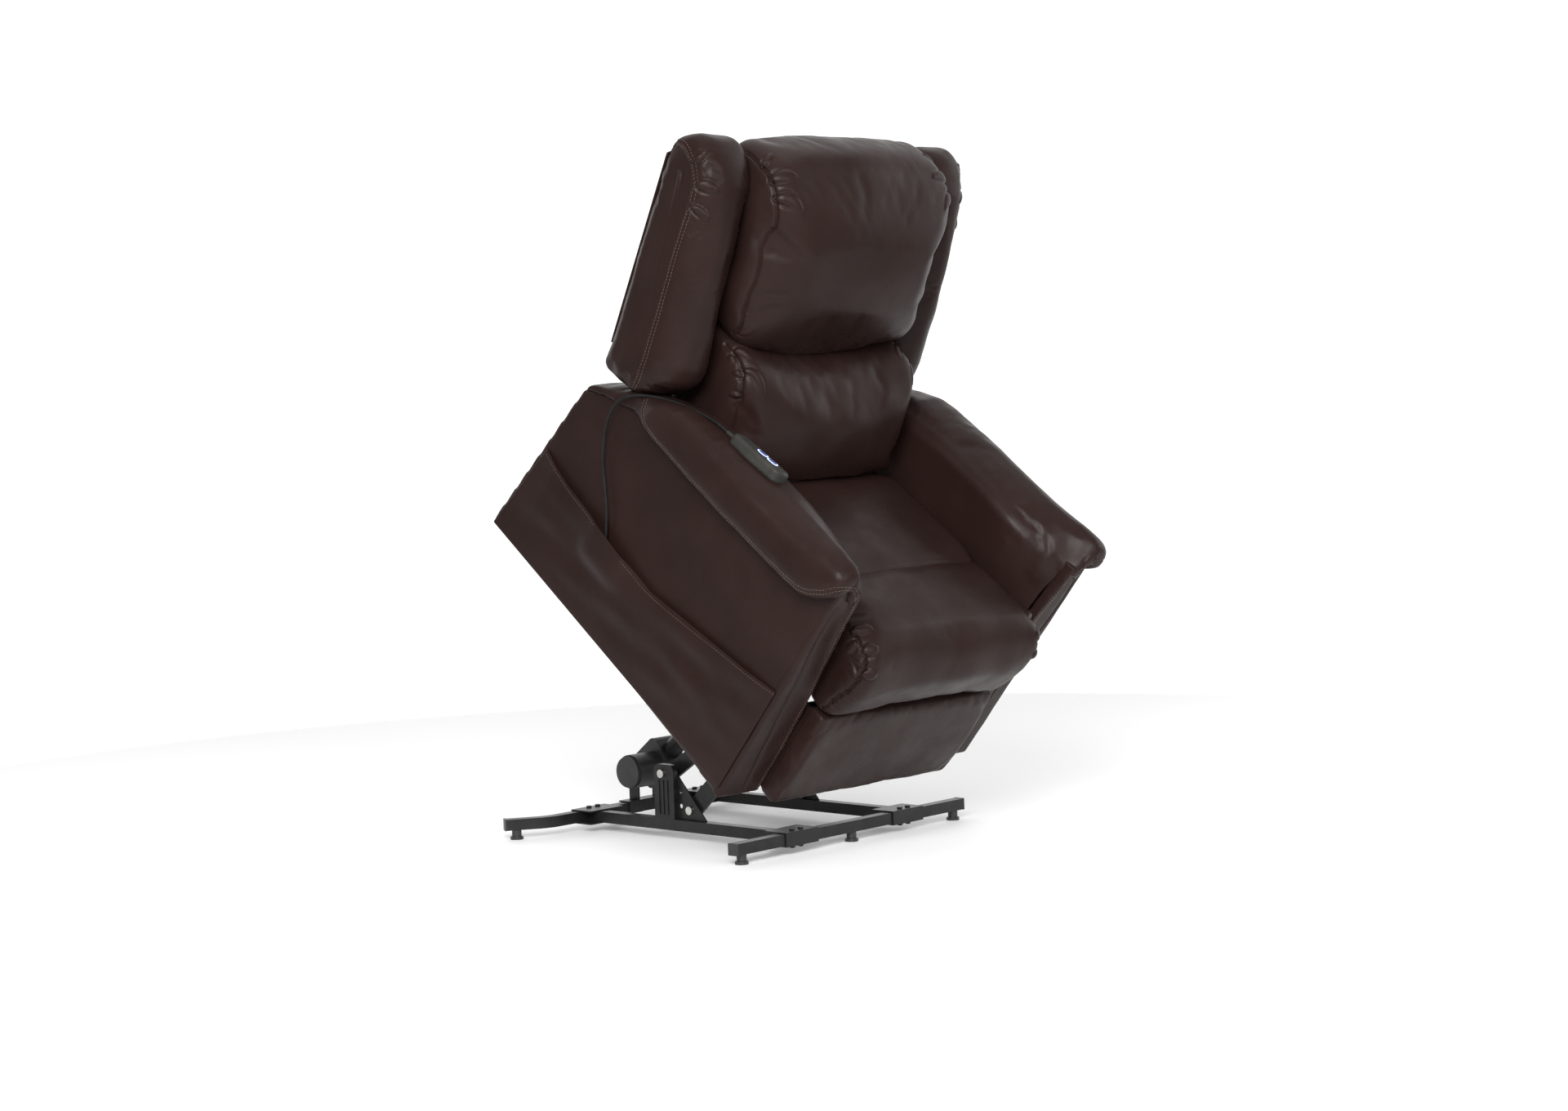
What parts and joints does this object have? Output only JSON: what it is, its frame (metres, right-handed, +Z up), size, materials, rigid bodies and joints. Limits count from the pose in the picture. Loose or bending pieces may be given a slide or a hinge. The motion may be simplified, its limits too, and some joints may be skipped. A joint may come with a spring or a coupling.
{
  "type": "lift recliner chair",
  "caption": "Powered lift recliner, shown raised: padded seat, arms, winged back and footrest on a steel four-bar base, with a corded handset.",
  "frame": {"origin": "middle of the footprint, on the floor", "axes": "+Z up, the chair faces -Y, +X to the sitter's left"},
  "size_m": [0.84, 1.0048, 1.4184],
  "materials": {
    "leather": "soft semi-matt pigmented leather",
    "black_steel": "satin black powder coat",
    "zinc": "bright zinc plate",
    "spring_steel": "oiled spring wire",
    "black_plastic": "fine matt",
    "handset_plastic": "fine matt grey",
    "ring_plastic": "translucent white",
    "button_plastic": "soft touch",
    "cord_rubber": "matt",
    "wood": "bare plywood"
  },
  "bodies": {
    "base": {"front_crossbar": "black_steel", "rear_crossbar": "black_steel", "side_rails": "black_steel", "crossbar_end_caps": "black_plastic", "floor_glides": "black_plastic", "corner_brackets": "black_steel", "corner_bolts": "black_steel", "lift_bracket_left": "black_steel", "lift_bracket_right": "black_steel", "base_pivot_bolts": "zinc", "actuator_bracket": "black_steel"},
    "rear_links": {"rear_lift_link_left": "black_steel", "rear_lift_link_right": "black_steel", "lift_torque_tube": "black_steel"},
    "front_links": {"front_lift_link_left": "black_steel", "front_lift_link_right": "black_steel", "front_link_bolts": "zinc"},
    "actuator_body": {"actuator_gearbox": "black_plastic", "motor_housing": "black_plastic", "actuator_tube": "black_steel"},
    "actuator_ram": {"actuator_rod": "zinc", "rod_clevis": "zinc"},
    "seat_unit": {"lift_frame_left": "black_steel", "lift_frame_right": "black_steel", "seat_pivot_bolts": "zinc", "seat_cross_tubes": "black_steel", "actuator_mount": "black_steel", "seat_frame": "wood", "seat_springs": "spring_steel", "mechanism_plates": "black_steel", "outer_side_left": "leather", "outer_side_right": "leather", "arm_front_left": "leather", "arm_front_right": "leather", "arm_inner_left": "leather", "arm_inner_right": "leather", "arm_pad_left": "leather", "arm_pad_right": "leather", "seat_cushion": "leather", "rear_apron": "leather", "side_pocket": "leather", "cord_grommet": "black_plastic", "handset_front_shell": "handset_plastic", "handset_rear_shell": "handset_plastic", "handset_button_rings": "ring_plastic", "handset_strain_relief": "handset_plastic", "handset_cord": "cord_rubber"},
    "backrest": {"back_frame": "wood", "back_outer_panel": "leather", "wing_left": "leather", "wing_right": "leather", "head_pillow": "leather", "lumbar_pillow": "leather", "recline_brackets": "black_steel"},
    "legrest_links": {"footrest_links": "black_steel"},
    "legrest_arms": {"footrest_arms": "black_steel"},
    "legrest": {"footrest_board": "wood", "footrest_panel": "leather"},
    "up_key": {"button_up": "button_plastic"},
    "down_key": {"button_down": "button_plastic"}
  },
  "joints": [
    {"name": "lift", "type": "hinge", "parent": "base", "child": "rear_links", "pos_m": [0, 0.2082, 0.136], "axis": [1, 0, 0], "range_deg": [0, 37.6]},
    {"name": "seat_tilt", "type": "hinge", "parent": "rear_links", "child": "seat_unit", "pos_m": [0, -0.04336, 0.2994], "axis": [1, 0, 0], "range_deg": [-77.3, 0]},
    {"name": "front_link_swing", "type": "hinge", "parent": "base", "child": "front_links", "pos_m": [0, 0.1412, 0.063], "axis": [1, 0, 0], "range_deg": [0, 36.8]},
    {"name": "actuator_swing", "type": "hinge", "parent": "base", "child": "actuator_body", "pos_m": [0, 0.4452, 0.085], "axis": [1, 0, 0], "range_deg": [0, 26.8]},
    {"name": "actuator_extend", "type": "slide", "parent": "actuator_body", "child": "actuator_ram", "axis": [0, -0.7848, 0.6198], "range_m": [-0.1285, 0]},
    {"name": "footrest_swing", "type": "hinge", "parent": "seat_unit", "child": "legrest_links", "pos_m": [0, -0.23087, 0.36244], "axis": [1, 0, 0], "range_deg": [-85, 0]},
    {"name": "footrest_elbow", "type": "hinge", "parent": "legrest_links", "child": "legrest_arms", "pos_m": [0, -0.10144, 0.25226], "axis": [1, 0, 0], "range_deg": [0, 97.5]},
    {"name": "footrest_hinge", "type": "hinge", "parent": "legrest_arms", "child": "legrest", "pos_m": [0, -0.19578, 0.22275], "axis": [1, 0, 0], "range_deg": [-102.5, 0]},
    {"name": "recline", "type": "hinge", "parent": "seat_unit", "child": "backrest", "pos_m": [0, 0.07432, 0.84853], "axis": [1, 0, 0], "range_deg": [-24.1, 0]},
    {"name": "press_up", "type": "slide", "parent": "seat_unit", "child": "up_key", "axis": [0.2882, -0.5546, 0.7807], "range_m": [-0.0012, 0], "stiffness_N_per_m": 400, "springref_m": 0.001},
    {"name": "press_down", "type": "slide", "parent": "seat_unit", "child": "down_key", "axis": [0.2882, -0.5546, 0.7807], "range_m": [-0.0012, 0], "stiffness_N_per_m": 400, "springref_m": 0.001}
  ],
  "couplings": [
    {"joint": "seat_tilt", "follows": "lift", "ratio": -2.0532},
    {"joint": "front_link_swing", "follows": "lift", "ratio": 0.97606},
    {"joint": "actuator_swing", "follows": "lift", "ratio": 0.70745},
    {"joint": "actuator_extend", "follows": "lift", "m_per_rad": -0.1952},
    {"joint": "footrest_elbow", "follows": "footrest_swing", "ratio": -1.1435},
    {"joint": "footrest_hinge", "follows": "footrest_swing", "ratio": 1.2024},
    {"joint": "recline", "follows": "footrest_swing", "ratio": 0.28235}
  ]
}
